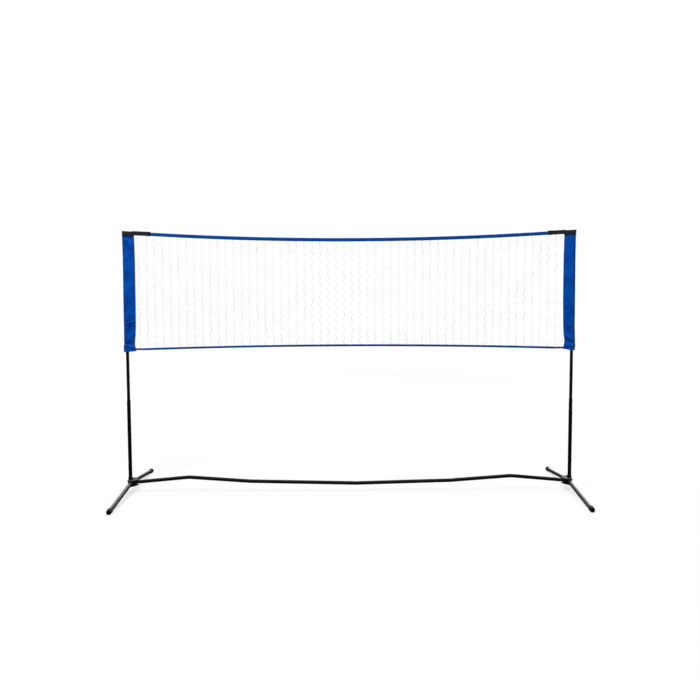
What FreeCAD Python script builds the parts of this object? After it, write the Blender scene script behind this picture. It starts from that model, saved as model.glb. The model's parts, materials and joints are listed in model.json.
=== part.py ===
import FreeCAD, Part
import math
import os

from FreeCAD import Vector

# A portable net on two telescoping poles. Each pole stands in a hub with two swinging legs,
# and a four-piece base bar keeps the hubs apart. Millimetres, +Z up, X along the net,
# origin on the floor midway between the poles.

# Overall sizes
pole_spacing = 2632.0
total_height = 1553.0
foot_length = 1040.0

# Running and seating clearances
running_gap = 0.05
slip_gap = 0.10
face_gap = 0.25
cloth_gap = 0.30

# Hub plates
hub_middle_height = 57.5
plate_gap = 30.0
plate_wall = 2.5
pivot_spread = 68.0
pivot_inset = 8.0
pivot_lobe_radius = 20.0
tip_reach = 28.0
tip_lobe_radius = 20.0
skirt_length = 40.0
plate_edge_bevel = 0.9

# Small rounds are drawn in a few straight steps, which keeps the faces few
round_steps = 3
head_steps = 2

# Rivets
pivot_rivet_radius = 4.0
pivot_head_radius = 8.0
pivot_head_height = 2.6
spacer_radius = 4.5
spacer_shank_radius = 3.0
spacer_head_radius = 5.8
spacer_head_height = 1.8
spacer_inset = 32.0
spacer_spread = 30.0

# Pole tubes, from the largest
lower_pole_radius = 11.0
middle_pole_radius = 9.5
upper_pole_radius = 8.0
pole_wall = 0.9
lower_pole_top = 550.0
middle_top_drop = 513.0
stage_overlap = 100.0
socket_wall = 2.0
socket_rise = 16.0
bush_depth = 18.0
bush_lip_height = 2.0
bush_lip_width = 1.3
plug_foot_height = 16.0
plug_spigot_height = 20.0
plug_groove_depth = 1.0
plug_groove_height = 6.4
cap_skirt_height = 12.0
cap_wall = 1.4
cap_crown_height = 3.0
cap_crown_round = 2.4

# Legs
leg_radius = 12.5
leg_wall = 1.3
knuckle_radius = 14.0
knuckle_shoulder = 17.0
knuckle_spigot = 28.0
rubber_wall = 2.0
rubber_skirt = 30.0
rubber_dome = 8.0
rubber_floor = 9.0
rubber_bead = 0.7
rubber_bead_width = 5.0
sole_depth = 1.2
tilt_passes = 4

# Base bar
bar_radius = 11.0
bar_wall = 1.2
bar_apex_inset = 351.0
bar_apex_height = 87.0
bar_bend_radius = 220.0
bar_joint_x = 600.0
bar_joint_height = 60.5
bar_centre_x = 38.0
bar_centre_height = 46.0
bar_sag_radius = 250.0
seam_setback = 18.0
spigot_length = 62.0
spigot_wall = 1.2
neck_length = 6.0
hub_to_bar_gap = 3.0
stub_engagement = 70.0
stub_wall = 1.4

# Snap buttons in the bar
button_radius = 3.4
button_stand = 2.2
button_round = 1.6
button_flange_radius = 4.6
button_flange_height = 1.5
button_from_seam = 20.0
spring_thickness = 0.8
spring_width = 5.0
spring_arm = 30.0
spring_lead = 6.0
spring_close = 2.0

# Net
pocket_radius = 15.0
pocket_wall = 2.2
pocket_reach = 52.5
pocket_edge_radius = 2.0
pocket_top_drop = 32.0
pocket_length = 679.0
pocket_bottom_rise = 6.5
pinch_above_hem = 46.0
pinch_depth = 8.0
pinch_run = 62.0
pinch_steps = 3
flare_depth = 0.5
pocket_seam_width = 12.0
sleeve_margin = 0.7
sleeve_roof = 2.6
sleeve_peak = 3.0
sleeve_peak_width = 6.0
sleeve_slope = 4.5
strap_height = 23.5
strap_thickness = 3.4
strap_low_drop = 27.0
band_height = 19.0
band_thickness = 3.2
band_low_drop = 31.0
band_sag = 36.5
hem_height = 10.5
hem_thickness = 6.0
hem_above_pocket = 19.0
hem_rise = 20.0
hem_end_inset = 37.0
cord_radius = 4.0
mesh_columns = 27
mesh_rows = 7
twine_width = 3.0
twine_thickness = 2.0

# Values that follow from those above
pole_x = pole_spacing / 2
pivot_x = pole_x - pivot_inset
pivot_y = pivot_spread / 2
lower_plate_top = hub_middle_height - plate_gap / 2
upper_plate_low = hub_middle_height + plate_gap / 2
lower_plate_low = lower_plate_top - plate_wall
upper_plate_top = upper_plate_low + plate_wall
lower_bore = lower_pole_radius - pole_wall
middle_bore = middle_pole_radius - pole_wall
upper_bore = upper_pole_radius - pole_wall
socket_radius = lower_pole_radius + slip_gap + socket_wall
bar_bore = bar_radius - bar_wall
spigot_radius = bar_bore - slip_gap
spigot_bore = spigot_radius - spigot_wall
rubber_radius = leg_radius + rubber_wall
sleeve_top = total_height - sleeve_peak
sleeve_ceiling = sleeve_top - sleeve_roof
mesh_half = pole_x - pocket_reach - pocket_edge_radius - cloth_gap
mesh_pitch = 2 * mesh_half / mesh_columns
strap_end = mesh_half - mesh_pitch
hem_end = mesh_half - hem_end_inset
middle_pole_top = total_height - middle_top_drop
pocket_top = total_height - pocket_top_drop
pocket_bottom = pocket_top - pocket_length
pinch_height = pocket_bottom + pinch_above_hem
strap_low_at_pocket = total_height - strap_low_drop
band_low_at_end = total_height - band_low_drop
band_low_at_middle = band_low_at_end - band_sag
hem_top_at_end = pocket_bottom + hem_above_pocket
hem_top_at_middle = hem_top_at_end + hem_rise


def save(name, shape):
    shape.exportStep(os.path.join("parts", name + ".step"))


def save_pair(name, right_shape):
    """Writes a right-hand piece, and its mirror image for the left."""
    save(name + "_right", right_shape)
    save(name + "_left", right_shape.mirror(Vector(0, 0, 0), Vector(1, 0, 0)))


def rod(radius, low, high, x=0.0, y=0.0):
    """An upright solid cylinder."""
    return Part.makeCylinder(radius, high - low, Vector(x, y, low))


def pipe_piece(radius, bore, low, high, x=0.0, y=0.0):
    """An upright tube."""
    return rod(radius, low, high, x, y).cut(rod(bore, low, high, x, y))


def lying_rod(radius, start, direction, length):
    return Part.makeCylinder(radius, length, start, direction)


def turned(outline, x=0.0, y=0.0):
    """A solid turned about the upright line through x, y, from points (radius, height)."""
    corners = [Vector(x + r, y, z) for r, z in outline]
    face = Part.Face(Part.makePolygon(corners + [corners[0]]))
    return face.revolve(Vector(x, y, 0), Vector(0, 0, 1), 360)


def round_corner(radius, height, size, steps):
    """Outline points round a turned piece's upper outer corner."""
    turns = [math.pi / 2 * i / steps for i in range(steps + 1)]
    return [
        (radius - size * (1 - math.cos(a)), height - size * (1 - math.sin(a)))
        for a in turns
    ]


def fused(*shapes):
    result = shapes[0]
    for shape in shapes[1:]:
        result = result.fuse(shape)
    return result.removeSplitter()


def hull_wire(circles, z=0.0):
    """The outline round circles (x, y, radius), listed counterclockwise, joined by their
    outer tangents. Each arc is halved, so that it stays under half a circle."""
    count = len(circles)
    normals = []
    for i in range(count):
        ax, ay, ar = circles[i]
        bx, by, br = circles[(i + 1) % count]
        dx, dy = bx - ax, by - ay
        length = math.hypot(dx, dy)
        tilt = math.asin((ar - br) / length)
        normals.append(math.atan2(dy, dx) - math.pi / 2 + tilt)
    edges = []
    for i in range(count):
        x, y, r = circles[i]
        first = normals[i - 1]
        last = normals[i]
        while last < first:
            last += 2 * math.pi

        def on_circle(angle):
            return Vector(x + r * math.cos(angle), y + r * math.sin(angle), z)

        for k in range(2):
            a = first + (last - first) * k / 2
            b = first + (last - first) * (k + 1) / 2
            edges.append(Part.Arc(on_circle(a), on_circle((a + b) / 2), on_circle(b)).toShape())
        nx, ny, nr = circles[(i + 1) % count]
        landing = Vector(nx + nr * math.cos(last), ny + nr * math.sin(last), z)
        edges.append(Part.makeLine(on_circle(last), landing))
    return Part.Wire(edges)


def hull_plate(circles, low, high):
    return Part.Face(hull_wire(circles, low)).extrude(Vector(0, 0, high - low))


def bent_path(points, radius):
    """Straight runs through points in the XZ plane, joined by tangent arcs."""
    edges = []
    here = points[0]
    for i in range(1, len(points) - 1):
        corner = points[i]
        back = (points[i - 1] - corner).normalize()
        ahead = (points[i + 1] - corner).normalize()
        opening = back.getAngle(ahead)
        tangent = radius / math.tan(opening / 2)
        arc_start = corner + back * tangent
        arc_end = corner + ahead * tangent
        inward = (back + ahead).normalize()
        centre = corner + inward * (radius / math.sin(opening / 2))
        arc_middle = centre - inward * radius
        edges.append(Part.makeLine(here, arc_start))
        edges.append(Part.Arc(arc_start, arc_middle, arc_end).toShape())
        here = arc_end
    edges.append(Part.makeLine(here, points[-1]))
    return Part.Wire(edges)


def swept(points, bend_radius, radius):
    """A round bar swept along a bent path."""
    path = bent_path(points, bend_radius)
    circle = Part.Circle(points[0], (points[1] - points[0]).normalize(), radius).toShape()
    return path.makePipeShell([Part.Wire(circle)], True, False)


def bent_tube(points, bend_radius, radius, bore):
    return swept(points, bend_radius, radius).cut(swept(points, bend_radius, bore))


# Hub: two plates, the pole socket, the bar stub and the spacer rivets

def hub_outline():
    return [
        (pivot_x, -pivot_y, pivot_lobe_radius),
        (pivot_x, pivot_y, pivot_lobe_radius),
        (pole_x - tip_reach, 0.0, tip_lobe_radius),
    ]


def spacer_places():
    return [(pole_x - spacer_inset, side * spacer_spread / 2) for side in (-1, 1)]


def pivot_places():
    return [(pivot_x, side * pivot_y) for side in (-1, 1)]


def drilled(plate, low, high):
    """A hub plate with its pivot and spacer rivet holes."""
    for x, y in pivot_places():
        plate = plate.cut(rod(pivot_rivet_radius, low, high, x, y))
    for x, y in spacer_places():
        plate = plate.cut(rod(spacer_shank_radius, low, high, x, y))
    return plate


def edges_at(shape, height):
    """The edges that lie flat at one height."""
    return [
        e for e in shape.Edges
        if abs(e.BoundBox.ZMin - height) < 1e-3 and abs(e.BoundBox.ZMax - height) < 1e-3
    ]


def hub_lower_plate():
    plate = hull_plate(hub_outline(), lower_plate_low, lower_plate_top)
    plate = plate.makeChamfer(plate_edge_bevel, edges_at(plate, lower_plate_low))
    return drilled(plate, lower_plate_low, lower_plate_top)


def hub_upper_plate():
    plate = hull_plate(hub_outline(), upper_plate_low, upper_plate_top)
    plate = plate.makeChamfer(plate_edge_bevel, edges_at(plate, upper_plate_top))
    outer_face = pivot_x + pivot_lobe_radius
    skirt = Part.makeBox(
        plate_wall, skirt_length, plate_gap,
        Vector(outer_face - plate_wall, -skirt_length / 2, lower_plate_top),
    )
    socket_room = rod(socket_radius, lower_plate_top, upper_plate_top, pole_x)
    plate = fused(plate, skirt).cut(socket_room)
    return drilled(plate, upper_plate_low, upper_plate_top)


def pole_socket():
    """The upright socket between the plates and through the upper one."""
    mouth = upper_plate_top + socket_rise
    bore = lower_pole_radius + slip_gap
    return turned([
        (bore, lower_plate_top),
        (socket_radius, lower_plate_top),
        (socket_radius, mouth - plate_edge_bevel),
        (socket_radius - plate_edge_bevel, mouth),
        (bore, mouth),
    ], pole_x)


def rivet_head(seat, radius, rise):
    """Outline points of a low domed head, from its rim to its flat top. A negative rise
    points it down."""
    turns = [math.pi / 2 * i / (head_steps + 1) for i in range(head_steps + 1)]
    top = math.sin(turns[-1])
    return [(radius * math.cos(a), seat + rise * math.sin(a) / top) for a in turns]


def rivet(shank, head_radius, head_height, x, y):
    """A rivet with this shank outline through both plates, and a head closed on each."""
    low_head = rivet_head(lower_plate_low, head_radius, -head_height)
    high_head = rivet_head(upper_plate_top, head_radius, head_height)
    foot = (0.0, lower_plate_low - head_height)
    crown = (0.0, upper_plate_top + head_height)
    return turned([foot] + low_head[::-1] + shank + high_head + [crown], x, y)


def spacer_rivets():
    """Shouldered rivets, which hold the two plates apart."""
    shank = [
        (spacer_shank_radius, lower_plate_low),
        (spacer_shank_radius, lower_plate_top),
        (spacer_radius, lower_plate_top),
        (spacer_radius, upper_plate_low),
        (spacer_shank_radius, upper_plate_low),
        (spacer_shank_radius, upper_plate_top),
    ]
    return Part.makeCompound([
        rivet(shank, spacer_head_radius, spacer_head_height, x, y) for x, y in spacer_places()
    ])


def pivot_rivets():
    shank = [(pivot_rivet_radius, lower_plate_low), (pivot_rivet_radius, upper_plate_top)]
    return Part.makeCompound([
        rivet(shank, pivot_head_radius, pivot_head_height, x, y) for x, y in pivot_places()
    ])


# Base bar

def bar_points():
    """The bar's centreline from the right hub, through its bends, to the left hub."""
    apex_x = pole_x - bar_apex_inset
    leaving_x = pole_x - (socket_radius + tip_reach) / 2
    return {
        "hub_right": Vector(leaving_x, 0, hub_middle_height),
        "apex_right": Vector(apex_x, 0, bar_apex_height),
        "joint_right": Vector(bar_joint_x, 0, bar_joint_height),
        "centre": Vector(bar_centre_x, 0, bar_centre_height),
        "joint_left": Vector(-bar_joint_x, 0, bar_joint_height),
    }


def toward(start, goal):
    return (goal - start).normalize()


def bar_stub():
    """The stub between the hub plates, coped round the socket, that the bar slips over."""
    p = bar_points()
    rise = toward(p["hub_right"], p["apex_right"])
    start = p["hub_right"] - rise * socket_radius * 2
    end = outer_bar_start() + rise * stub_engagement
    length = (end - start).Length
    stub = lying_rod(spigot_radius, start, rise, length)
    stub = stub.cut(lying_rod(spigot_radius - stub_wall, start, rise, length))
    room = rod(socket_radius, 0, total_height, pole_x)
    beyond = Part.makeBox(pole_x, pole_x, total_height, Vector(pole_x, -pole_x / 2, 0))
    return stub.cut(room).cut(beyond)


def outer_bar_start():
    """Where the bar's outer tube begins, just off the tip of the hub plates."""
    p = bar_points()
    rise = toward(p["hub_right"], p["apex_right"])
    tip_x = pole_x - tip_reach - tip_lobe_radius - hub_to_bar_gap
    return p["hub_right"] + rise * ((p["hub_right"].x - tip_x) / -rise.x)


def outer_seam():
    """Where the right outer tube ends against the inner tube."""
    p = bar_points()
    return p["joint_right"] + toward(p["joint_right"], p["apex_right"]) * seam_setback


def centre_seam():
    p = bar_points()
    return p["centre"] + toward(p["centre"], p["joint_left"]) * seam_setback


def mirrored_point(point):
    return Vector(-point.x, point.y, point.z)


def snap_joints():
    """Each snap button's place on the bar's axis, the way its spigot points, and its name."""
    p = bar_points()
    right_way = toward(p["joint_right"], p["apex_right"])
    centre_way = toward(p["centre"], p["joint_left"])
    right_place = outer_seam() + right_way * button_from_seam
    return {
        "right": (right_place, right_way),
        "centre": (centre_seam() + centre_way * button_from_seam, centre_way),
        "left": (mirrored_point(right_place), mirrored_point(right_way)),
    }


def upward_normal(direction):
    """The direction square to a bar run, in the XZ plane, that points up."""
    normal = Vector(-direction.z, 0, direction.x)
    return normal if normal.z > 0 else normal * -1


def button_hole(name):
    place, way = snap_joints()[name]
    return lying_rod(button_radius + slip_gap, place, upward_normal(way), 2 * bar_radius)


def outer_bar():
    p = bar_points()
    points = [outer_bar_start(), p["apex_right"], outer_seam()]
    return bent_tube(points, bar_bend_radius, bar_radius, bar_bore).cut(button_hole("right"))


def swaged_tube(points, swaged_ends):
    """An inner tube. Each swaged end, 0 for the first and -1 for the last, narrows through a
    tapered neck to a spigot that enters the next tube."""
    solid = swept(points, bar_sag_radius, bar_radius)
    bore_points = list(points)
    narrow_bores = []
    for end in swaged_ends:
        seam = points[end]
        outward = toward(points[1 if end == 0 else -2], seam)
        neck_start = seam - outward * neck_length
        bore_points[end] = neck_start
        solid = solid.fuse(lying_rod(spigot_radius, seam, outward, spigot_length))
        narrow_bores.append(Part.makeCone(bar_bore, spigot_bore, neck_length, neck_start, outward))
        narrow_bores.append(lying_rod(spigot_bore, seam, outward, spigot_length))
    solid = solid.cut(swept(bore_points, bar_sag_radius, bar_bore))
    for bore in narrow_bores:
        solid = solid.cut(bore)
    return solid


def inner_bar_right():
    """From the right joint to the centre joint, swaged at both ends."""
    p = bar_points()
    tube = swaged_tube([outer_seam(), p["joint_right"], p["centre"], centre_seam()], (0, -1))
    return tube.cut(button_hole("right")).cut(button_hole("centre"))


def inner_bar_left():
    """From the left joint, where it is swaged, to the centre joint, which it takes in."""
    p = bar_points()
    tube = swaged_tube([mirrored_point(outer_seam()), p["joint_left"], centre_seam()], (0,))
    return tube.cut(button_hole("left")).cut(button_hole("centre"))


def snap_button(name):
    """A round button with a domed top and a flange that holds it inside the spigot."""
    place, way = snap_joints()[name]
    low = spigot_seat()
    top = bar_radius + button_stand
    button = turned([
        (0.0, low),
        (button_flange_radius, low),
        (button_flange_radius, low + button_flange_height),
        (button_radius, low + button_flange_height),
        *round_corner(button_radius, top, button_round, head_steps),
        (0.0, top),
    ])
    return laid_along(button, place, way)


def spigot_seat():
    """Height above the bar's axis of the button's underside, with its flange under the bore."""
    reach = math.sqrt(spigot_bore ** 2 - button_flange_radius ** 2)
    return reach - button_flange_height - slip_gap


def hairpin_spring(name):
    """A folded leaf: an arm under the button, a round bend, and an arm on the bore's floor."""
    high = spigot_seat() - spring_thickness
    low = -math.sqrt((spigot_bore - cloth_gap) ** 2 - (spring_width / 2) ** 2)
    bend_top = high - spring_close
    bend_radius = (bend_top + spring_thickness - low) / 2
    bend_centre = low + bend_radius
    half = spring_width / 2
    drop = math.atan2(spring_close, spring_arm + spring_lead)
    arm_length = (spring_arm + spring_lead) / math.cos(drop)
    upper = Part.makeBox(arm_length, spring_width, spring_thickness, Vector(0, -half, 0))
    upper.rotate(Vector(0, 0, 0), Vector(0, 1, 0), math.degrees(drop))
    upper.translate(Vector(-spring_lead, 0, high))
    lower = Part.makeBox(
        spring_arm + spring_lead, spring_width, spring_thickness, Vector(-spring_lead, -half, low)
    )
    ring_start = Vector(spring_arm, -half, bend_centre)
    ring = lying_rod(bend_radius, ring_start, Vector(0, 1, 0), spring_width)
    ring = ring.cut(lying_rod(bend_radius - spring_thickness, ring_start, Vector(0, 1, 0), spring_width))
    half_ring = ring.common(Part.makeBox(
        2 * bend_radius, spring_width, 2 * bend_radius, Vector(spring_arm, -half, low)
    ))
    spring = fused(upper, lower, half_ring)
    place, way = snap_joints()[name]
    return laid_along(spring, place, way)


def laid_along(shape, place, way):
    """Turns a shape drawn along +X so that it runs along a bar direction, kept upright."""
    up = upward_normal(way)
    across = up.cross(way)
    turn = FreeCAD.Matrix(
        way.x, across.x, up.x, place.x,
        way.y, across.y, up.y, place.y,
        way.z, across.z, up.z, place.z,
        0, 0, 0, 1,
    )
    laid = shape.copy()
    laid.Placement = FreeCAD.Placement(turn).multiply(laid.Placement)
    return laid


# Poles

def lower_pole():
    return pipe_piece(lower_pole_radius, lower_bore, lower_plate_top, lower_pole_top, pole_x)


def middle_foot():
    return lower_pole_top - stage_overlap


def upper_foot():
    return middle_pole_top - stage_overlap


def middle_pole():
    return pipe_piece(middle_pole_radius, middle_bore, middle_foot(), middle_pole_top, pole_x)


def upper_pole_top():
    return sleeve_ceiling - cap_crown_height


def upper_pole():
    return pipe_piece(upper_pole_radius, upper_bore, upper_foot(), upper_pole_top(), pole_x)


def mouth_bush(outer_bore, inner_radius, outer_radius, top):
    """A thin guide bush in a tube's mouth, with a lip on the tube's end."""
    bore = inner_radius + running_gap
    lip = min(bore + bush_lip_width, outer_radius)
    return turned([
        (bore, top - bush_depth),
        (outer_bore, top - bush_depth),
        (outer_bore, top),
        (lip, top),
        (lip, top + bush_lip_height),
        (bore, top + bush_lip_height),
    ], pole_x)


def foot_plug(tube_bore, tube_foot, sliding_bore):
    """A grip plug: a spigot in the inner tube and a grooved foot that runs in the outer tube."""
    foot_radius = sliding_bore - running_gap
    groove_floor = foot_radius - plug_groove_depth
    foot_low = tube_foot - plug_foot_height
    groove_low = tube_foot - (plug_foot_height + plug_groove_height) / 2
    groove_high = groove_low + plug_groove_height
    return turned([
        (0.0, foot_low),
        (foot_radius, foot_low),
        (foot_radius, groove_low),
        (groove_floor, groove_low),
        (groove_floor, groove_high),
        (foot_radius, groove_high),
        (foot_radius, tube_foot),
        (tube_bore, tube_foot),
        (tube_bore, tube_foot + plug_spigot_height),
        (0.0, tube_foot + plug_spigot_height),
    ], pole_x)


def pole_cap():
    """The cap over the upper tube's end, with a plug in its bore and a flat crown."""
    top = upper_pole_top()
    skirt_low = top - cap_skirt_height
    crown = top + cap_crown_height
    outside = upper_pole_radius + cap_wall
    return turned([
        (0.0, skirt_low),
        (upper_bore, skirt_low),
        (upper_bore, top),
        (upper_pole_radius, top),
        (upper_pole_radius, skirt_low),
        (outside, skirt_low),
        *round_corner(outside, crown, cap_crown_round, head_steps),
        (0.0, crown),
    ], pole_x)


# Legs

def leg_tilt():
    """How far a leg leans down, so that its cap's sole is cut flat by the floor."""
    sole_y = foot_length / 2 - rubber_dome
    drop = hub_middle_height + sole_depth
    run = sole_y - pivot_y
    angle = math.atan2(drop - rubber_radius, run)
    for _ in range(tilt_passes):
        angle = math.atan2(drop - rubber_radius * math.cos(angle), run)
    return angle


def leg_length():
    """From the pivot to the cap's far end, along the leg."""
    return (foot_length / 2 - pivot_y) / math.cos(leg_tilt())


def along_leg(shape, side):
    """Turns a shape drawn along +X from the pivot into a leg's place. Side is -1 for front."""
    shape.rotate(Vector(0, 0, 0), Vector(0, 1, 0), math.degrees(leg_tilt()))
    shape.rotate(Vector(0, 0, 0), Vector(0, 0, 1), 90 * side)
    shape.translate(Vector(pivot_x, side * pivot_y, hub_middle_height))
    return shape


def leg_tube(side):
    end = leg_length() - rubber_floor
    tube = lying_rod(leg_radius, Vector(knuckle_shoulder, 0, 0), Vector(1, 0, 0), end - knuckle_shoulder)
    bore = lying_rod(leg_radius - leg_wall, Vector(0, 0, 0), Vector(1, 0, 0), end)
    return along_leg(tube.cut(bore), side)


def knuckle(side):
    """The moulded end of a leg: an eye for the rivet, a shoulder and a spigot in the tube."""
    arm = lying_rod(leg_radius, Vector(0, 0, 0), Vector(1, 0, 0), knuckle_shoulder)
    arm = arm.fuse(lying_rod(
        leg_radius - leg_wall, Vector(0, 0, 0), Vector(1, 0, 0), knuckle_shoulder + knuckle_spigot
    ))
    arm = along_leg(arm, side)
    eye_low = lower_plate_top + face_gap
    eye_high = upper_plate_low - face_gap
    y = side * pivot_y
    eye = rod(knuckle_radius, eye_low, eye_high, pivot_x, y)
    hole = rod(pivot_rivet_radius + running_gap, lower_plate_low, upper_plate_top, pivot_x, y)
    return fused(arm, eye).cut(hole)


def rubber_cap(side):
    """A rubber cap with a beaded mouth and a domed end, cut flat where it stands."""
    length = leg_length()
    mouth = length - rubber_dome - rubber_skirt
    floor = length - rubber_floor
    ramp = rubber_bead_width / 4
    bead = rubber_radius + rubber_bead
    cap = turned([
        (leg_radius, mouth),
        (rubber_radius, mouth),
        (bead, mouth + ramp),
        (bead, mouth + rubber_bead_width - ramp),
        (rubber_radius, mouth + rubber_bead_width),
        *round_corner(rubber_radius, length, rubber_dome, round_steps),
        (0.0, length),
        (0.0, floor),
        (leg_radius, floor),
    ])
    cap.rotate(Vector(0, 0, 0), Vector(0, 1, 0), 90)
    below_floor = Part.makeBox(
        pole_spacing, pole_spacing, hub_middle_height,
        Vector(0, -pole_x, -hub_middle_height),
    )
    return along_leg(cap, side).cut(below_floor)


# Net

def pocket_wire(z, radius, reach, edge_radius):
    """The teardrop section of a pole pocket: round the pole, drawn flat to the inner edge."""
    return hull_wire([(pole_x, 0.0, radius), (pole_x - reach, 0.0, edge_radius)], z)


def pocket_reach_at(z):
    """How far the pocket's inner edge lies from the pole: drawn in at the pinch, flared below."""
    if z < pinch_height:
        share = (pinch_height - z) / (pinch_height - pocket_bottom)
        swell = (1 - math.cos(math.pi * share)) / 2
        return pocket_reach - pinch_depth + (pinch_depth + flare_depth) * swell
    share = min((z - pinch_height) / pinch_run, 1.0)
    return pocket_reach - pinch_depth * (1 + math.cos(math.pi * share)) / 2


def pocket_heights():
    """The heights of the pocket's sections, close together round the pinch."""
    below = (pinch_height - pocket_bottom) / pinch_steps
    above = pinch_run / pinch_steps
    heights = [pocket_bottom + below * i for i in range(pinch_steps)]
    heights += [pinch_height + above * i for i in range(pinch_steps + 1)]
    return heights + [pocket_top]


def pocket_loft(radius, edge_inset, edge_radius):
    sections = [
        pocket_wire(z, radius, pocket_reach_at(z) - edge_inset, edge_radius)
        for z in pocket_heights()
    ]
    return Part.makeLoft(sections, True, True)


def net_pocket():
    """A fabric tube round the pole, sewn flat along its inner edge, with a sloping hem."""
    outer = pocket_loft(pocket_radius, 0.0, pocket_edge_radius)
    channel = pocket_loft(pocket_radius - pocket_wall, pocket_seam_width, pocket_edge_radius / 2)
    hem_slope = math.atan2(pocket_bottom_rise, pocket_reach)
    room = 4 * pocket_reach
    below_hem = Part.makeBox(room, room, room, Vector(-room, -room / 2, -room))
    below_hem.rotate(Vector(0, 0, 0), Vector(0, 1, 0), math.degrees(hem_slope))
    below_hem.translate(Vector(pole_x + pocket_radius, 0, pocket_bottom))
    return outer.cut(channel).cut(below_hem)


def net_point(x, z):
    return Vector(x, 0, z)


def band_low(x):
    """Height of the top band's lower edge, which sags as a parabola between the straps."""
    share = min(abs(x) / strap_end, 1.0)
    height = band_low_at_middle + (band_low_at_end - band_low_at_middle) * share ** 2
    if abs(x) > strap_end:
        beyond = (abs(x) - strap_end) / mesh_pitch
        height += (strap_low_at_pocket - band_low_at_end) * beyond
    return height


def hem_top(x):
    """Height of the bottom band's upper edge, which is drawn up at the middle."""
    share = abs(x) / mesh_half
    return hem_top_at_middle + (hem_top_at_end - hem_top_at_middle) * share ** 2


def column_lines():
    return [-mesh_half + mesh_pitch * i for i in range(mesh_columns + 1)]


def row_height(x, row):
    low = hem_top(x)
    return low + (band_low(x) - low) * row / mesh_rows


def slab(points, thickness):
    """A flat piece in the net's plane with the outline through these points."""
    outline = Part.makePolygon(points + [points[0]])
    face = Part.Face(outline)
    face.translate(Vector(0, -thickness / 2, 0))
    return face.extrude(Vector(0, thickness, 0))


def mesh_gap(x0, x1, row):
    """The outline of one gap between four twines."""
    half = twine_width / 2
    corners = [
        net_point(x0 + half, row_height(x0, row) + half),
        net_point(x1 - half, row_height(x1, row) + half),
        net_point(x1 - half, row_height(x1, row + 1) - half),
        net_point(x0 + half, row_height(x0, row + 1) - half),
    ]
    return Part.makePolygon(corners + [corners[0]])


def net_mesh():
    """The mesh as one holed face. Each gap stands for a block of four of the real mesh's."""
    lines = column_lines()
    low_edge = [net_point(x, hem_top(x)) for x in lines]
    high_edge = [net_point(x, band_low(x)) for x in reversed(lines)]
    outline = Part.makePolygon(low_edge + high_edge + [low_edge[0]])
    gaps = [
        mesh_gap(lines[i], lines[i + 1], row)
        for i in range(mesh_columns)
        for row in range(mesh_rows)
    ]
    face = Part.Face([outline] + gaps)
    face.translate(Vector(0, -twine_thickness / 2, 0))
    return face.extrude(Vector(0, twine_thickness, 0))


def top_band():
    inner = [x for x in column_lines() if abs(x) < strap_end + mesh_pitch / 2]
    low = [net_point(x, band_low(x)) for x in inner]
    high = [net_point(x, band_low(x) + band_height) for x in reversed(inner)]
    return slab(low + high, band_thickness)


def bottom_band():
    inner = [x for x in column_lines() if abs(x) < hem_end]
    stops = [-hem_end] + inner + [hem_end]
    high = [net_point(x, straight_hem_top(x)) for x in stops]
    low = [net_point(x, straight_hem_top(x) - hem_height) for x in reversed(stops)]
    return slab(high + low, hem_thickness)


def straight_hem_top(x):
    """The upper edge of the bottom band on the straight run between two column lines."""
    index = min(int((x + mesh_half) / mesh_pitch), mesh_columns - 1)
    x0 = -mesh_half + mesh_pitch * index
    share = (x - x0) / mesh_pitch
    return hem_top(x0) * (1 - share) + hem_top(x0 + mesh_pitch) * share


def bottom_cord():
    """The bare cord between the bottom band and the pocket."""
    z = straight_hem_top(hem_end) - hem_height / 2
    end = pocket_tip_at(z - cord_radius) - cloth_gap
    return lying_rod(cord_radius, net_point(hem_end, z), Vector(1, 0, 0), end - hem_end)


def pocket_tip_at(z):
    """Where the pocket's inner edge ends at a height."""
    return pole_x - pocket_reach_at(z) - pocket_edge_radius


def corner_sleeve():
    """The black sleeve over the pocket's top, closed by a roof, and its strap to the band."""
    radius = pocket_radius + sleeve_margin
    edge = pocket_edge_radius
    body = Part.Face(pocket_wire(pocket_top, radius, pocket_reach, edge))
    body = body.extrude(Vector(0, 0, total_height - pocket_top))
    outer_x = pole_x + radius
    inner_x = pole_x - pocket_reach - edge
    roof_line = [
        Vector(outer_x, 0, total_height),
        Vector(outer_x - sleeve_peak_width, 0, sleeve_top),
        Vector(inner_x, 0, sleeve_top - sleeve_slope / 2),
        Vector(inner_x, 0, total_height + sleeve_peak),
        Vector(outer_x, 0, total_height + sleeve_peak),
    ]
    above = slab(roof_line, 4 * radius)
    channel = pocket_radius - pocket_wall
    room = Part.Face(pocket_wire(
        pocket_top, channel, pocket_reach - pocket_seam_width, pocket_edge_radius / 2
    )).extrude(Vector(0, 0, sleeve_ceiling - pocket_top))
    strap = slab(
        [
            net_point(strap_end, band_low(strap_end)),
            net_point(mesh_half, strap_low_at_pocket),
            net_point(pole_x - pocket_reach, strap_low_at_pocket),
            net_point(pole_x - pocket_reach, strap_low_at_pocket + strap_height),
            net_point(strap_end, band_low(strap_end) + strap_height),
        ],
        strap_thickness,
    )
    return fused(body.cut(above), strap).cut(room)


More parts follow.
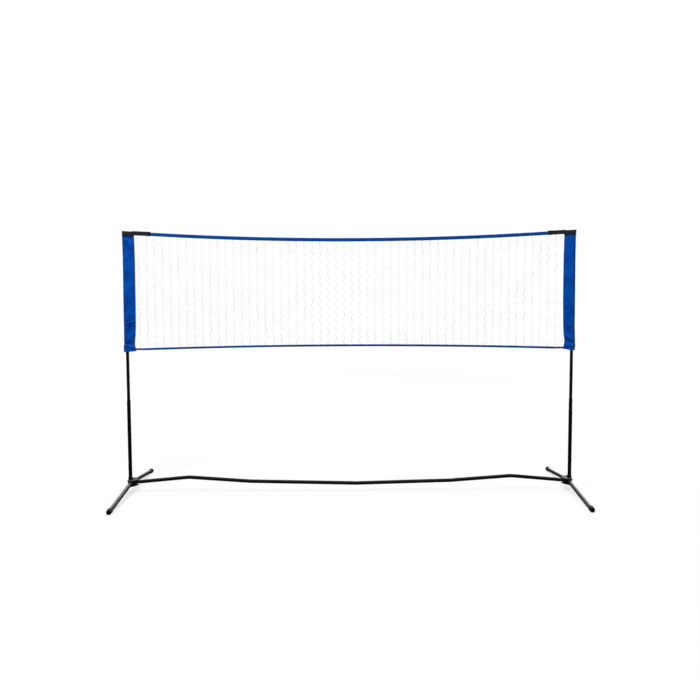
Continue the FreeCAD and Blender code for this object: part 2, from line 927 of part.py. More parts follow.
def main():
    os.makedirs("parts", exist_ok=True)
    save_pair("hub_lower_plate", hub_lower_plate())
    save_pair("hub_upper_plate", hub_upper_plate())
    save_pair("pole_socket", pole_socket())
    save_pair("bar_stub", bar_stub())
    save_pair("spacer_rivets", spacer_rivets())
    save_pair("pivot_rivets", pivot_rivets())
    for name, side in (("front", -1), ("rear", 1)):
        save_pair("leg_" + name, leg_tube(side))
        save_pair("knuckle_" + name, knuckle(side))
        save_pair("leg_cap_" + name, rubber_cap(side))
    save_pair("lower_pole", lower_pole())
    save_pair("middle_pole", middle_pole())
    save_pair("upper_pole", upper_pole())
    save_pair("lower_bush", mouth_bush(lower_bore, middle_pole_radius, lower_pole_radius, lower_pole_top))
    save_pair("middle_bush", mouth_bush(middle_bore, upper_pole_radius, middle_pole_radius, middle_pole_top))
    save_pair("middle_plug", foot_plug(middle_bore, middle_foot(), lower_bore))
    save_pair("upper_plug", foot_plug(upper_bore, upper_foot(), middle_bore))
    save_pair("pole_cap", pole_cap())
    save_pair("bar_outer", outer_bar())
    save("bar_inner_right", inner_bar_right())
    save("bar_inner_left", inner_bar_left())
    for name in ("left", "centre", "right"):
        save("bar_button_" + name, snap_button(name))
        save("bar_spring_" + name, hairpin_spring(name))
    save_pair("net_pocket", net_pocket())
    save_pair("corner_sleeve", corner_sleeve())
    save_pair("bottom_cord", bottom_cord())
    save("net_mesh", net_mesh())
    save("top_band", top_band())
    save("bottom_band", bottom_band())


main()
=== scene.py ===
import json
import math

import bpy
import numpy as np
from mathutils import Matrix, Vector, noise


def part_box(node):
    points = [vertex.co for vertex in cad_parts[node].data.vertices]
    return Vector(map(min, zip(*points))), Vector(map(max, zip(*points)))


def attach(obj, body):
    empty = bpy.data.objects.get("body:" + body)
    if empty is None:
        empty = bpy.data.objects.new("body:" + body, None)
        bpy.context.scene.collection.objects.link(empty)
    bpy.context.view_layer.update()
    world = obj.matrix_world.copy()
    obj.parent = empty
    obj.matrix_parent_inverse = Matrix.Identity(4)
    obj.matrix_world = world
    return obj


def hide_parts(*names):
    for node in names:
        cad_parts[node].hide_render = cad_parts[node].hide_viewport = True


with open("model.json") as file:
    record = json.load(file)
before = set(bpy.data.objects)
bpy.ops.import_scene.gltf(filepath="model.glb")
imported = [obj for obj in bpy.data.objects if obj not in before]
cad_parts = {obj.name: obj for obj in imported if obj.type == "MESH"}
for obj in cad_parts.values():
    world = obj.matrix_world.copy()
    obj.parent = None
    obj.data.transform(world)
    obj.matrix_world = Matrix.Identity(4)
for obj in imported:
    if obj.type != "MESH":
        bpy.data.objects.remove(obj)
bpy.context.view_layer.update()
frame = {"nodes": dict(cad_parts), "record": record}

# A portable net on two telescoping poles, dressed for the photograph. Metres, +Z up, X along
# the net. The tubes, hubs and caps keep their own meshes and get their finishes here. The
# twine mesh, the bands, the pole pockets, the corner webbing and the cords are made here.

SIDES = {"left": -1, "right": 1}

# Places read from the frame
pole_low, pole_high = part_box("upper_pole_right")
net_low, net_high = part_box("net_mesh")
top_band_low, top_band_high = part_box("top_band")
hem_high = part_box("bottom_band")[1]
pocket_low, pocket_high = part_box("net_pocket_right")
sleeve_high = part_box("corner_sleeve_right")[1]
pole_x = (pole_low.x + pole_high.x) / 2
net_half = net_high.x
strap_end = top_band_high.x
hem_end = hem_high.x

# Camera, fitted to the photograph
camera_place = (-0.030, -5.033, 1.250)
camera_yaw = 0.351
camera_drop = 4.579
camera_roll = -0.198
focal_pixels = 851.9
photo_pixels = 700
sensor_width = 36.0

# Studio light. The room lights the piece, and the gloss levels are what shiny faces mirror
room_low = 0.14
room_high = 0.50
room_sides = 0.25
gloss_front = 0.02
gloss_behind = 0.45
gloss_above = 0.9
gloss_floor = 0.02
gloss_floor_far = 0.12
white_level = 1.014
floor_tone = 0.19
floor_reach = 40.0
floor_height = -0.0004

# Where the lamps light the floor: place (x, y), strength and spread. lamp_rest is the light
# that it gets everywhere
lamp_pools = [(-1.727, -1.347, 1.024, 5.938), (0.511, 2.981, 1.012, 4.333), (1.256, -1.976, 0.723, 5.763)]
lamp_rest = 0.291

# Bright cards that shiny faces mirror: name, near and far foot (x, y), lowest and highest, glow
gloss_cards = [
    ("left_card", (-1.60, 3.2), (-4.6, 2.2), 0.0, 1.9, 2.6),
    ("right_card", (1.60, 3.2), (4.6, 2.2), 0.0, 1.9, 4.2),
    ("high_left_card", (-0.45, 3.2), (-1.60, 3.2), 1.05, 2.1, 3.8),
    ("high_right_card", (0.75, 3.2), (1.60, 3.2), 1.08, 2.1, 5.6),
]

# Lamps: name, place, height that it faces on the object's middle, width and power
lamps = [
    ("key_lamp", (-1.6, -3.2, 5.2), 0.9, 1.5, 330.0),
    ("fill_lamp", (2.2, -4.6, 2.0), 0.9, 2.4, 40.0),
    ("top_lamp", (0.0, 0.4, 4.8), 0.6, 3.0, 150.0),
    ("rear_lamp", (0.8, 4.4, 3.4), 0.9, 2.4, 150.0),
]

# Twine mesh
strand_count = 54
row_count = 14
hanging_radius = 0.00158
level_radius = 0.00052
joint_half = 0.0057
joint_radius = 0.00055
first_strand_inset = 0.0229
last_strand_inset = 0.0452
top_gap_middle = 0.018
top_gap_end = 0.033
hem_gap_middle = 0.004
hem_gap_end = 0.027
twine_wander = 0.0011
twine_sides = 5
twine_lead = 0.004
level_sag = 0.0010
level_sag_spread = 0.0009
level_steps = 6

# Bands. A seam is given by how far below the top it runs, as a share of the band's height,
# and how far it stands out
cloth_wall = 0.0007
band_height = 0.0201
band_rope_radius = 0.0026
band_fold = 0.0011
band_swell = 0.0006
band_flat_run = 0.030
band_flat_share = 0.5
band_overlap = 0.004
band_stations = 420
band_seams = [(0.84, band_fold + cloth_wall * 0.6), (0.38, band_rope_radius * 0.86)]
hem_cord_radius = 0.0026
hem_fold = 0.0010
hem_depth = 0.0123
hem_swell = 0.0004
hem_mouth_share = 1.1
hem_stations = 440
hem_seams = [(0.7, hem_fold + cloth_wall)]

# Foot cord: its bare core, and its yarn-bound part with its ends inside the hem and the pocket
foot_cord_core = 0.0020
foot_cord_high = 0.0057
foot_cord_deep = 0.0034
foot_cord_inside = 0.006
foot_cord_binding = 0.0025
foot_cord_squeeze = 0.012
foot_cord_entry = 0.003
foot_cord_steps = 48
foot_cord_sides = 20

# Pole pockets. The shapes are (height, outward from the pole, towards the net from the pole)
pocket_radius = 0.0145
pocket_edge = 0.0016
pocket_shape = {
    "left": [
        (0.842, 0.0198, 0.0515), (0.852, 0.0202, 0.0501), (0.870, 0.0208, 0.0460), (0.888, 0.0195, 0.0435),
        (0.899, 0.0180, 0.0452), (0.935, 0.0176, 0.0486), (0.985, 0.0170, 0.0515), (1.090, 0.0168, 0.0532),
        (1.250, 0.0152, 0.0540), (1.393, 0.0142, 0.0548), (1.498, 0.0148, 0.0535), (1.521, 0.0145, 0.0525),
    ],
    "right": [
        (0.842, 0.0176, 0.0520), (0.8476, 0.0178, 0.0510), (0.8595, 0.0200, 0.0465),
        (0.8776, 0.0206, 0.0433), (0.889, 0.0206, 0.0408), (0.925, 0.0193, 0.0464),
        (0.960, 0.0170, 0.0492), (1.000, 0.0162, 0.0510), (1.140, 0.0152, 0.0538),
        (1.244, 0.0145, 0.0542), (1.385, 0.0135, 0.0542), (1.521, 0.0138, 0.0520),
    ],
}
shape_easing = 0.007
pocket_reach = 0.0525
pocket_bottom_rise = {"left": 0.004, "right": 0.008}
pocket_tuck = 0.007
pocket_columns = 84
pocket_round = 0.160
pocket_rows = 250
waist_height = {"left": 0.889, "right": 0.893}
waist_depth = 0.0048
waist_above = 0.017
waist_below = 0.008

# The hem turned in at a pocket's foot: how far up and in it goes, the rows of its edge (height
# and share of that inset), and the room that it keeps from the net's plane
hem_turn = 0.007
hem_inset = 0.0022
hem_edge = [(0.0004, 0.8), (-0.0008, 0.3)]
turned_share = 0.6
turned_room = 0.0008

# The cloth stays this far from the pole's axis and from the net's plane. least_room is left
# for a fold where there is no room at all
pole_room = 0.0119
face_room = 0.0008
least_room = 0.0004

# Unevenness of a pocket's cloth: its size, what is added at the foot, its rates up and
# across, whether it leans, and its seed. What is added fades out above rumple_foot
rumples = [(0.0009, 0.0011, 30, 12, 1, 0), (0.0003, 0.0007, 85, 60, 1, 5), (0.0006, 0.0, 11, 20, 0, 9)]
rumple_lean = {"left": 0.8, "right": -0.6}
rumple_foot = 0.90
rumple_fade = 0.12

# Where the folds die out: beside the seam, under the top and round the pole's far side
seam_fade = 0.009
top_fade = 0.010
top_margin = 0.001
back_start = 0.004
back_fade = 0.010

# Folds of a pocket's face: places (towards the net, height) along the fold, how far it
# stands out, and its half-width. The back of each pocket has the folds of the other's front
pocket_folds = {
    "left": [
        ([(-0.003, 1.517), (0.029, 1.509), (0.044, 1.494)], -0.0042, 0.0060),
        ([(0.010, 1.497), (0.026, 1.482), (0.034, 1.455)], 0.0032, 0.0083),
        ([(0.030, 1.430), (0.012, 1.395), (0.004, 1.350)], 0.0016, 0.0092),
        ([(0.044, 1.330), (0.020, 1.300), (0.006, 1.262)], -0.0014, 0.0092),
        ([(0.040, 1.235), (0.012, 1.200)], 0.0014, 0.0092),
        ([(0.042, 1.150), (0.016, 1.118)], -0.0014, 0.0083),
        ([(0.034, 1.095), (0.008, 1.056)], 0.0021, 0.0060),
        ([(-0.010, 1.005), (0.020, 1.013), (0.046, 1.018)], 0.0042, 0.0055),
        ([(0.046, 1.001), (0.022, 0.974), (0.002, 0.944)], -0.0046, 0.0069),
        ([(0.042, 0.948), (0.020, 0.930), (0.006, 0.900)], 0.0053, 0.0078),
        ([(0.040, 0.918), (0.024, 0.904), (0.014, 0.893)], -0.0039, 0.0055),
        ([(0.048, 0.887), (0.020, 0.888), (-0.012, 0.893)], -0.0053, 0.0046),
        ([(-0.004, 0.880), (0.020, 0.872), (0.044, 0.862)], 0.0049, 0.0046),
        ([(-0.012, 0.868), (0.014, 0.861), (0.034, 0.853)], -0.0032, 0.0041),
    ],
    "right": [
        ([(0.004, 1.522), (0.018, 1.490), (0.028, 1.458)], 0.0042, 0.0064),
        ([(0.040, 1.516), (0.030, 1.500), (0.010, 1.462)], -0.0028, 0.0060),
        ([(0.042, 1.430), (0.020, 1.405)], 0.0016, 0.0083),
        ([(0.036, 1.360), (0.010, 1.330)], -0.0014, 0.0092),
        ([(0.040, 1.290), (0.018, 1.250)], 0.0014, 0.0101),
        ([(0.030, 1.190), (0.008, 1.160)], -0.0014, 0.0092),
        ([(0.044, 1.110), (0.022, 1.085)], 0.0016, 0.0083),
        ([(0.048, 1.030), (0.034, 1.005), (0.020, 0.975)], 0.0024, 0.0064),
        ([(0.044, 0.982), (0.016, 0.942), (-0.014, 0.918)], -0.0053, 0.0069),
        ([(0.046, 0.938), (0.022, 0.914), (-0.010, 0.900)], 0.0056, 0.0074),
        ([(0.044, 0.906), (0.020, 0.890)], -0.0035, 0.0051),
        ([(0.046, 0.896), (0.014, 0.884), (-0.014, 0.884)], -0.0046, 0.0046),
        ([(0.046, 0.866), (0.018, 0.868), (-0.010, 0.872)], 0.0049, 0.0046),
        ([(0.040, 0.856), (0.004, 0.857)], -0.0028, 0.0041),
    ],
}

# Corner webbing. The strap and the patch over it reach back past the band's end
webbing_wall = 0.0009
webbing_dent = 0.0005
webbing_ripple = 0.00035
strap_back = 0.001
patch_back = 0.002
sleeve_radius = 0.0157
sleeve_edge = 0.0024
sleeve_peak = 0.0035
sleeve_slope = 0.0045
sleeve_overlap = 0.0015
sleeve_columns = 64
flat_top_radius = 0.004
strap_height = 0.0243
strap_thickness = 0.0046
strap_inner_low = 1.526
strap_into_sleeve = 0.006
strap_drop = 0.0006
strap_opening = 0.35
patch_length = 0.020
patch_bulk = 1.7
patch_spare = 0.0006
box_near = 0.001
box_far = 0.003
box_low = 0.14
box_high = 0.86
mouth_row_lift = 0.0035
mouth_row_depth = 0.0007

# Rows up the corner sleeve: share of its height, step down from its roof, how far its faces
# are drawn in to close it, and the distance up the webbing
sleeve_rows = [
    (0.0, 0.0, 1.0, 0.0), (0.35, 0.0, 1.0, 0.009), (0.7, 0.0, 1.0, 0.018),
    (1.0, -0.0035, 1.0, 0.024), (1.0, -0.0012, 0.93, 0.027), (1.0, -0.0002, 0.66, 0.032),
    (1.0, 0.0, 0.30, 0.037), (1.0, 0.0, 0.02, 0.041),
]

# One face of the doubled strap: share of its half-thickness, and share of its height
strap_profile = [(-0.25, 0.0), (-0.9, 0.015), (-1.0, 0.08), (-0.86, 0.3), (-0.8, 0.5), (-0.86, 0.7),
                 (-1.0, 0.92), (-0.9, 0.985), (-0.25, 1.0)]

# Stitching. A pocket's seams lie this far from its inner edge, and run from seam_start above
# its foot to seam_stop below its top
stitch_length = 0.0028
stitch_gap = 0.0009
stitch_radius = 0.00032
stitch_sides = 5
pocket_seams = (0.0030, 0.0100)
seam_start = 0.003
seam_stop = 0.002


# Curves of the net

def band_low(x):
    """Height of the top band's lower edge, which sags between the straps."""
    end_low = top_band_high.z - band_height
    share = within_one(abs(x) / strap_end)
    height = top_band_low.z + (end_low - top_band_low.z) * share ** 2
    if abs(x) > strap_end:
        beyond = (abs(x) - strap_end) / (net_half - strap_end)
        height += (net_high.z - end_low) * within_one(beyond)
    return height


def hem_top(x):
    """Height of the bottom band's upper edge, which is drawn up at the middle."""
    return hem_high.z + (net_low.z - hem_high.z) * (x / net_half) ** 2


def strand_x(column):
    """Where an upright strand hangs. The mesh starts nearer one pocket than the other."""
    run = 2 * net_half - first_strand_inset - last_strand_inset
    return -net_half + first_strand_inset + run * column / (strand_count - 1)


def row_height(x, row):
    """Height of a level strand, counted from the top."""
    share = (x / net_half) ** 2
    high = band_low(x) - top_gap_middle - (top_gap_end - top_gap_middle) * share
    low = hem_top(x) + hem_gap_middle + (hem_gap_end - hem_gap_middle) * share
    return high + (low - high) * row / (row_count - 1)


def wander(x, y, z):
    """A smooth, repeatable unevenness between about -1 and 1."""
    return noise.noise(Vector((x, y, z)))


def within_one(value):
    """A share held between 0 and 1."""
    return min(max(value, 0.0), 1.0)


def put_in_scene(name, data):
    """A new object in the scene."""
    made = bpy.data.objects.new(name, data)
    bpy.context.scene.collection.objects.link(made)
    return made


# Meshes made from grids of points

class Bundle:
    """Grids of points gathered into one mesh, each with its own measures as its UV map."""

    def __init__(self):
        self.points = []
        self.faces = []
        self.measures = []
        self.count = 0

    def add(self, grid, along, across=None, closed=False, capped=False):
        """Adds rows of points. along and across are the cloth's or cord's own measures."""
        grid = np.asarray(grid, float)
        rows, columns = grid.shape[:2]
        spans = columns if closed else columns - 1
        across = np.arange(spans + 1) / spans if across is None else across
        i, j = (part.ravel() for part in np.meshgrid(np.arange(rows - 1), np.arange(spans), indexing="ij"))
        corners = [(i, j), (i, j + 1), (i + 1, j + 1), (i + 1, j)]
        quads = np.stack([row * columns + column % columns for row, column in corners], 1)
        measures = np.stack([np.stack([across[column], along[row]], 1) for row, column in corners], 1)
        self.points.append(grid.reshape(-1, 3))
        self.faces += (quads + self.count).tolist()
        self.measures += measures.reshape(-1, 2).tolist()
        if capped:
            ends = (range(columns)[::-1], range((rows - 1) * columns, rows * columns))
            for end, height in zip(ends, (along[0], along[-1])):
                self.faces.append([self.count + k for k in end])
                self.measures += [(across[k % columns], height) for k in end]
        self.count += rows * columns

    def piece(self, name, finish, slot):
        """The mesh as a piece of the net, which all rides on the left upper tube's body."""
        mesh = bpy.data.meshes.new(name)
        mesh.from_pydata(np.concatenate(self.points).tolist(), [], self.faces)
        layer = mesh.uv_layers.new(name="measures")
        layer.data.foreach_set("uv", np.asarray(self.measures, np.float32).ravel())
        mesh.shade_smooth()
        mesh.materials.append(finishes[finish])
        piece = put_in_scene(name, mesh)
        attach(piece, "net_and_left_pole")
        return piece


def tube(path, radius, sides, upright=(0.0, 1.0, 0.0)):
    """Rings of points round a path. radius is one size or one for each point."""
    ahead = np.gradient(path, axis=0)
    side = np.cross(ahead, upright)
    ahead, side = (a / np.linalg.norm(a, axis=1, keepdims=True) for a in (ahead, side))
    up = np.cross(side, ahead)
    radius = np.broadcast_to(radius, (len(path),))[:, None, None]
    turn = np.arange(sides) * 2 * math.pi / sides
    ring = np.cos(turn)[None, :, None] * side[:, None] + np.sin(turn)[None, :, None] * up[:, None]
    return path[:, None] + radius * ring


def lengths(path):
    """Distance along a path at each of its points."""
    steps = np.linalg.norm(np.diff(path, axis=0), axis=1)
    return np.concatenate([[0.0], np.cumsum(steps)])


def stitch_row(bundle, path, outward):
    """A row of sewn stitches along a path that lies on cloth which faces outward."""
    path = np.asarray(path, float)
    run = lengths(path)
    pitch = stitch_length + stitch_gap
    lift = np.array([-1.2, 0.5, 1.0, 0.5, -1.2])[:, None] * stitch_radius * np.array(outward)
    size = np.array([0.5, 0.95, 1.0, 0.95, 0.5]) * stitch_radius
    for k in range(int(run[-1] / pitch)):
        places = (k + 0.1) * pitch + np.linspace(0, stitch_length, len(size))
        line = np.stack([np.interp(places, run, path[:, a]) for a in range(3)], 1) + lift
        bundle.add(tube(line, size, stitch_sides, upright=outward), along=places, closed=True, capped=True)


# Shader groups

class Graph:
    """A node tree with short calls to add and join nodes."""

    def __init__(self, tree):
        self.tree = tree

    def add(self, kind, **settings):
        """A new shader node, with its settings."""
        node = self.tree.nodes.new("ShaderNode" + kind)
        for key, value in settings.items():
            setattr(node, key, value)
        return node

    def join(self, source, target):
        """Links an output to an input."""
        self.tree.links.new(source, target)

    def make(self, kind, output, inputs, **settings):
        """A new node's output. Each of its inputs is a socket, a number or a colour."""
        node = self.add(kind, **settings)
        for key, value in inputs.items():
            if isinstance(value, (int, float)):
                node.inputs[key].default_value = value
            elif isinstance(value, tuple):
                node.inputs[key].default_value = (*value, 1.0)
            else:
                self.join(value, node.inputs[key])
        return node.outputs[output]

    def math(self, operation, *values):
        """A Math node."""
        return self.make("Math", 0, dict(enumerate(values)), operation=operation)

    def times(self, first, second):
        """One value multiplied by another."""
        return self.math("MULTIPLY", first, second)

    def noise(self, place, scale, detail=3.0, roughness=0.5):
        """Soft noise at a place."""
        inputs = {"Vector": place, "Scale": scale, "Detail": detail, "Roughness": roughness}
        return self.make("TexNoise", "Fac", inputs)

    def span(self, value, low, high, to_low=0.0, to_high=1.0):
        """A Map Range node between two pairs of numbers."""
        inputs = {"Value": value, "From Min": low, "From Max": high, "To Min": to_low, "To Max": to_high}
        return self.make("MapRange", "Result", inputs)

    def blend(self, share, first, second):
        """A colour mix. Inputs 6 and 7 and output 2 are a Mix node's colours."""
        return self.make("Mix", 2, {"Factor": share, 6: first, 7: second}, data_type="RGBA")

    def bump(self, height, distance, strength):
        """A normal bent by a height."""
        return self.make("Bump", "Normal", {"Height": height, "Distance": distance, "Strength": strength})

    def place(self):
        """The place on the object, in metres."""
        return self.add("TexCoord").outputs["Object"]

    def parts(self, vector):
        """A vector's X, Y and Z."""
        node = self.add("SeparateXYZ")
        self.join(vector, node.inputs[0])
        return node.outputs[:3]

    def measures(self):
        """The cloth's or cord's own measures: X round or across it, Y along it."""
        return self.parts(self.add("UVMap", uv_map="measures").outputs["UV"])[:2]

    def group(self, name, **values):
        """A shader group's outputs. Its inputs are numbers."""
        node = self.add("Group", node_tree=bpy.data.node_groups[name])
        for key, value in values.items():
            node.inputs[key.replace("_", " ")].default_value = value
        return node.outputs


def new_group(name, inputs, outputs):
    """A new shader group's graph, and its input and output sockets."""
    tree = bpy.data.node_groups.new(name, "ShaderNodeTree")
    for key, value in inputs.items():
        made = tree.interface.new_socket(name=key, in_out="INPUT", socket_type="NodeSocketFloat")
        made.default_value = value
    for key in outputs:
        tree.interface.new_socket(name=key, in_out="OUTPUT", socket_type="NodeSocketFloat")
    entry, leaving = (tree.nodes.new(kind) for kind in ("NodeGroupInput", "NodeGroupOutput"))
    return Graph(tree), entry.outputs, leaving.inputs


def group_hard_skin(name, ripple_detail, patch_detail, patch_roughness, low, high):
    """A hard surface's skin: a fine ripple, and broad patches of smudge or dusty bloom."""
    g, given, result = new_group(name, {"Ripple": 700.0, "Patch": 9.0}, ("Height", "Patches"))
    place = g.place()
    g.join(g.noise(place, given["Ripple"], ripple_detail), result["Height"])
    uneven = g.noise(place, given["Patch"], patch_detail, patch_roughness)
    g.join(g.span(uneven, low, high), result["Patches"])


def group_rubbed_edge():
    """A mask of the edges, where paint or plastic rubs bright first."""
    g, given, result = new_group("rubbed edge", {"Width": 0.0008, "Breaks": 260.0}, ("Rub",))
    rounded = g.make("Bevel", "Normal", {"Radius": given["Width"]}, samples=4)
    plain = g.add("NewGeometry").outputs["Normal"]
    turned = g.make("VectorMath", "Value", {0: rounded, 1: plain}, operation="DOT_PRODUCT")
    broken = g.span(g.noise(g.place(), given["Breaks"]), 0.42, 0.6)
    g.join(g.times(g.span(turned, 0.995, 0.93), broken), result["Rub"])


def group_plain_weave():
    """Over-and-under threads along the cloth's own measures, with uneven yarn tone."""
    g, given, result = new_group(
        "plain weave", {"Thread": 0.00055, "Tone Scale": 26.0}, ("Height", "Yarn", "Tone")
    )
    across, along = g.measures()
    rate = g.math("DIVIDE", math.pi, given["Thread"])
    over, under = (g.math("SINE", g.times(run, rate)) for run in (across, along))
    g.join(g.span(g.times(over, under), -1.0, 1.0), result["Height"])
    stretched = g.make("CombineXYZ", 0, {"X": g.times(across, 700.0), "Y": g.times(along, 30.0)})
    g.join(g.noise(stretched, 1.0, 2.0), result["Yarn"])
    g.join(g.noise(g.place(), given["Tone Scale"], 4.0, 0.6), result["Tone"])


def group_edge_shade():
    """Where painted shade darkens a pocket's cloth: beside its seam, and where it turns round the pole."""
    g, given, result = new_group("edge shade", {"Round": 0.16, "Seam": 0.006, "Turn": 0.016}, ("Shade",))
    across = g.measures()[0]
    to_seam = g.math("MINIMUM", across, g.math("SUBTRACT", given["Round"], across))
    to_turn = g.math("ABSOLUTE", g.math("SUBTRACT", across, g.times(given["Round"], 0.5)))
    seam = g.span(g.math("DIVIDE", to_seam, given["Seam"]), 0.3, 1.0, 1.0, 0.0)
    turn = g.span(g.math("DIVIDE", to_turn, given["Turn"]), 0.4, 1.0, 1.0, 0.0)
    g.join(g.math("MAXIMUM", seam, turn), result["Shade"])


def group_ribbed_webbing():
    """Webbing: cords along its length, crossed by a close herringbone."""
    g, given, result = new_group("ribbed webbing", {"Rib": 0.0016, "Pick": 0.0011}, ("Height", "Fuzz"))
    across, along = g.measures()
    ribs = g.math("SINE", g.times(across, g.math("DIVIDE", 2 * math.pi, given["Rib"])))
    slant = g.times(g.math("ABSOLUTE", ribs), 1.2)
    picks = g.times(along, g.math("DIVIDE", 2 * math.pi, given["Pick"]))
    twill = g.math("SINE", g.math("ADD", picks, slant))
    total = g.math("ADD", g.times(ribs, 0.6), g.times(twill, 0.4))
    g.join(g.span(total, -1.0, 1.0), result["Height"])
    g.join(g.noise(g.place(), 900.0, 2.0), result["Fuzz"])


def group_twisted_strand():
    """Plies that wind round a cord: across counts once round it, along is its length."""
    g, given, result = new_group("twisted strand", {"Lay": 0.006, "Plies": 3.0}, ("Height", "Fibre"))
    across, along = g.measures()
    turns = g.math("DIVIDE", along, given["Lay"])
    wound = g.math("ADD", g.times(across, given["Plies"]), g.times(turns, given["Plies"]))
    g.join(g.math("ABSOLUTE", g.math("SINE", g.times(wound, math.pi))), result["Height"])
    g.join(g.noise(g.place(), 1500.0, 2.0), result["Fibre"])


def make_groups():
    """Every shader group that the finishes share."""
    group_hard_skin("sprayed skin", 2.0, 5.0, 0.6, 0.35, 0.7)
    group_hard_skin("moulded grain", 1.0, 4.0, 0.65, 0.45, 0.75)
    group_rubbed_edge()
    group_plain_weave()
    group_edge_shade()
    group_ribbed_webbing()
    group_twisted_strand()


# Finishes, by the names of their materials

finishes = {}


def new_material(name, **shader_values):
    """A finish with one Principled shader, its constant values set on its own sockets."""
    material = finishes[name] = bpy.data.materials.new(name)
    material.use_nodes = True
    graph = Graph(material.node_tree)
    shader = material.node_tree.nodes["Principled BSDF"]
    for key, value in shader_values.items():
        shader.inputs[key.replace("_", " ")].default_value = value
    return material, graph, shader.inputs


def hard_finish(name, group, scales, tones, roughness, ripple, worn=None, **values):
    """Paint, plastic, rubber or steel, uneven in tone and gloss. scales are the ripple's and
    the patches' in its shader group, and ripple is a bump's depth and strength. worn gives
    the rubbed edges' tone and share, their width and their breaks."""
    material, g, shader = new_material(name, **values)
    skin = g.group(group, Ripple=scales[0], Patch=scales[1])
    tone = g.blend(skin["Patches"], *tones)
    if worn:
        bare, share, width, breaks = worn
        rub = g.group("rubbed edge", Width=width, Breaks=breaks)["Rub"]
        tone = g.blend(g.times(rub, share), tone, bare)
    g.join(tone, shader["Base Color"])
    g.join(g.span(skin["Patches"], 0.0, 1.0, *roughness), shader["Roughness"])
    g.join(g.bump(skin["Height"], *ripple), shader["Normal"])
    return material


def black_paint(name, shine, roughness):
    """Black powder paint on steel. The tubes have a satin coat and the hub plates a flat one."""
    return hard_finish(
        name, "sprayed skin", (620.0, 7.0), ((0.0024, 0.0025, 0.0030), (0.0046, 0.0047, 0.0054)),
        roughness, (0.00005, 0.5), ((0.04, 0.04, 0.044), 0.35, 0.0007, 180.0), Specular_IOR_Level=shine,
    )


def rivet_steel():
    """Blackened rivets with a burnished crown."""
    return hard_finish(
        "blackened_rivet", "sprayed skin", (900.0, 120.0), ((0.035, 0.035, 0.038), (0.075, 0.074, 0.074)),
        (0.36, 0.55), (0.00006, 0.6), ((0.32, 0.31, 0.30), 0.7, 0.0006, 400.0), Metallic=0.7,
        Specular_IOR_Level=0.4,
    )


def moulded(name, dark, bloom, roughness, grain, **values):
    """A moulded plastic or rubber finish. Its rubbed edges are three times its bloom's tone."""
    return hard_finish(
        name, "moulded grain", (grain, 45.0), (dark, bloom), (roughness, roughness + 0.14),
        (0.00008, 0.7), (tuple(3 * c for c in bloom), 0.4, 0.0006, 300.0), **values,
    )


def button_steel():
    """Bright plated steel with fine turning marks."""
    return hard_finish(
        "plated_button", "sprayed skin", (2400.0, 160.0), ((0.52, 0.51, 0.49), (0.68, 0.67, 0.66)),
        (0.22, 0.38), (0.00003, 0.5), Metallic=1.0,
    )


def woven_blue(name, deep, bright, painted_edge_shade=None):
    """Blue woven polyester with a soft sheen. A pocket's cloth also gets painted shade, along its seam and
    where it turns round the pole.
    """
    material, g, shader = new_material(
        name, Specular_IOR_Level=0.05, Sheen_Weight=0.02, Sheen_Roughness=0.4,
        Sheen_Tint=(0.02, 0.3, 1.0, 1.0),
    )
    weave = g.group("plain weave", Thread=0.00055, Tone_Scale=18.0)
    tone = g.blend(g.span(weave["Tone"], 0.3, 0.7), deep, bright)
    tone = g.blend(g.span(weave["Yarn"], 0.3, 0.75, 0.0, 0.22), tone, tuple(0.55 * c for c in deep))
    if painted_edge_shade:
        # Painted shade: the cloth darkens beside its seam and where it turns round the pole
        shade = g.group("edge shade", Round=pocket_round)["Shade"]
        tone = g.blend(g.times(shade, 0.85), tone, painted_edge_shade)
    g.join(tone, shader["Base Color"])
    g.join(g.span(weave["Yarn"], 0.2, 0.8, 0.5, 0.66), shader["Roughness"])
    g.join(g.bump(weave["Height"], 0.00012, 0.6), shader["Normal"])
    return material


def black_webbing():
    """Black woven webbing, with painted light on the faces of its ribs and painted shade between them."""
    material, g, shader = new_material(
        "black_webbing_weave", Specular_IOR_Level=0.25, Sheen_Weight=0.25, Sheen_Roughness=0.5,
        Sheen_Tint=(0.75, 0.75, 0.9, 1.0),
    )
    weave = g.group("ribbed webbing")
    # Painted shade between the ribs and painted light on their faces
    tone = g.blend(weave["Height"], (0.0030, 0.0038, 0.0055), (0.0110, 0.0135, 0.0190))
    patch = g.noise(g.place(), 60.0)
    tone = g.blend(g.span(patch, 0.45, 0.65, 0.0, 0.5), tone, (0.020, 0.024, 0.034))
    tone = g.blend(g.span(weave["Fuzz"], 0.5, 0.8, 0.0, 0.4), tone, (0.030, 0.034, 0.044))
    g.join(tone, shader["Base Color"])
    g.join(g.span(weave["Fuzz"], 0.2, 0.8, 0.62, 0.82), shader["Roughness"])
    g.join(g.bump(weave["Height"], 0.00030, 0.7), shader["Normal"])
    return material


def twisted(name, shade, light, lay, depth, **values):
    """A twisted cord or thread. Its two tones are painted: shade in the grooves between its plies and light
    on their crowns.
    """
    material, g, shader = new_material(name, **values)
    strand = g.group("twisted strand", Lay=lay)
    # Painted shade in the grooves between the plies and painted light on their crowns
    tone = g.blend(strand["Height"], shade, light)
    g.join(g.blend(g.span(strand["Fibre"], 0.45, 0.8, 0.0, 0.5), tone, shade), shader["Base Color"])
    g.join(g.span(strand["Fibre"], 0.2, 0.8, 0.6, 0.75), shader["Roughness"])
    g.join(g.bump(strand["Height"], depth, 0.8), shader["Normal"])
    return material


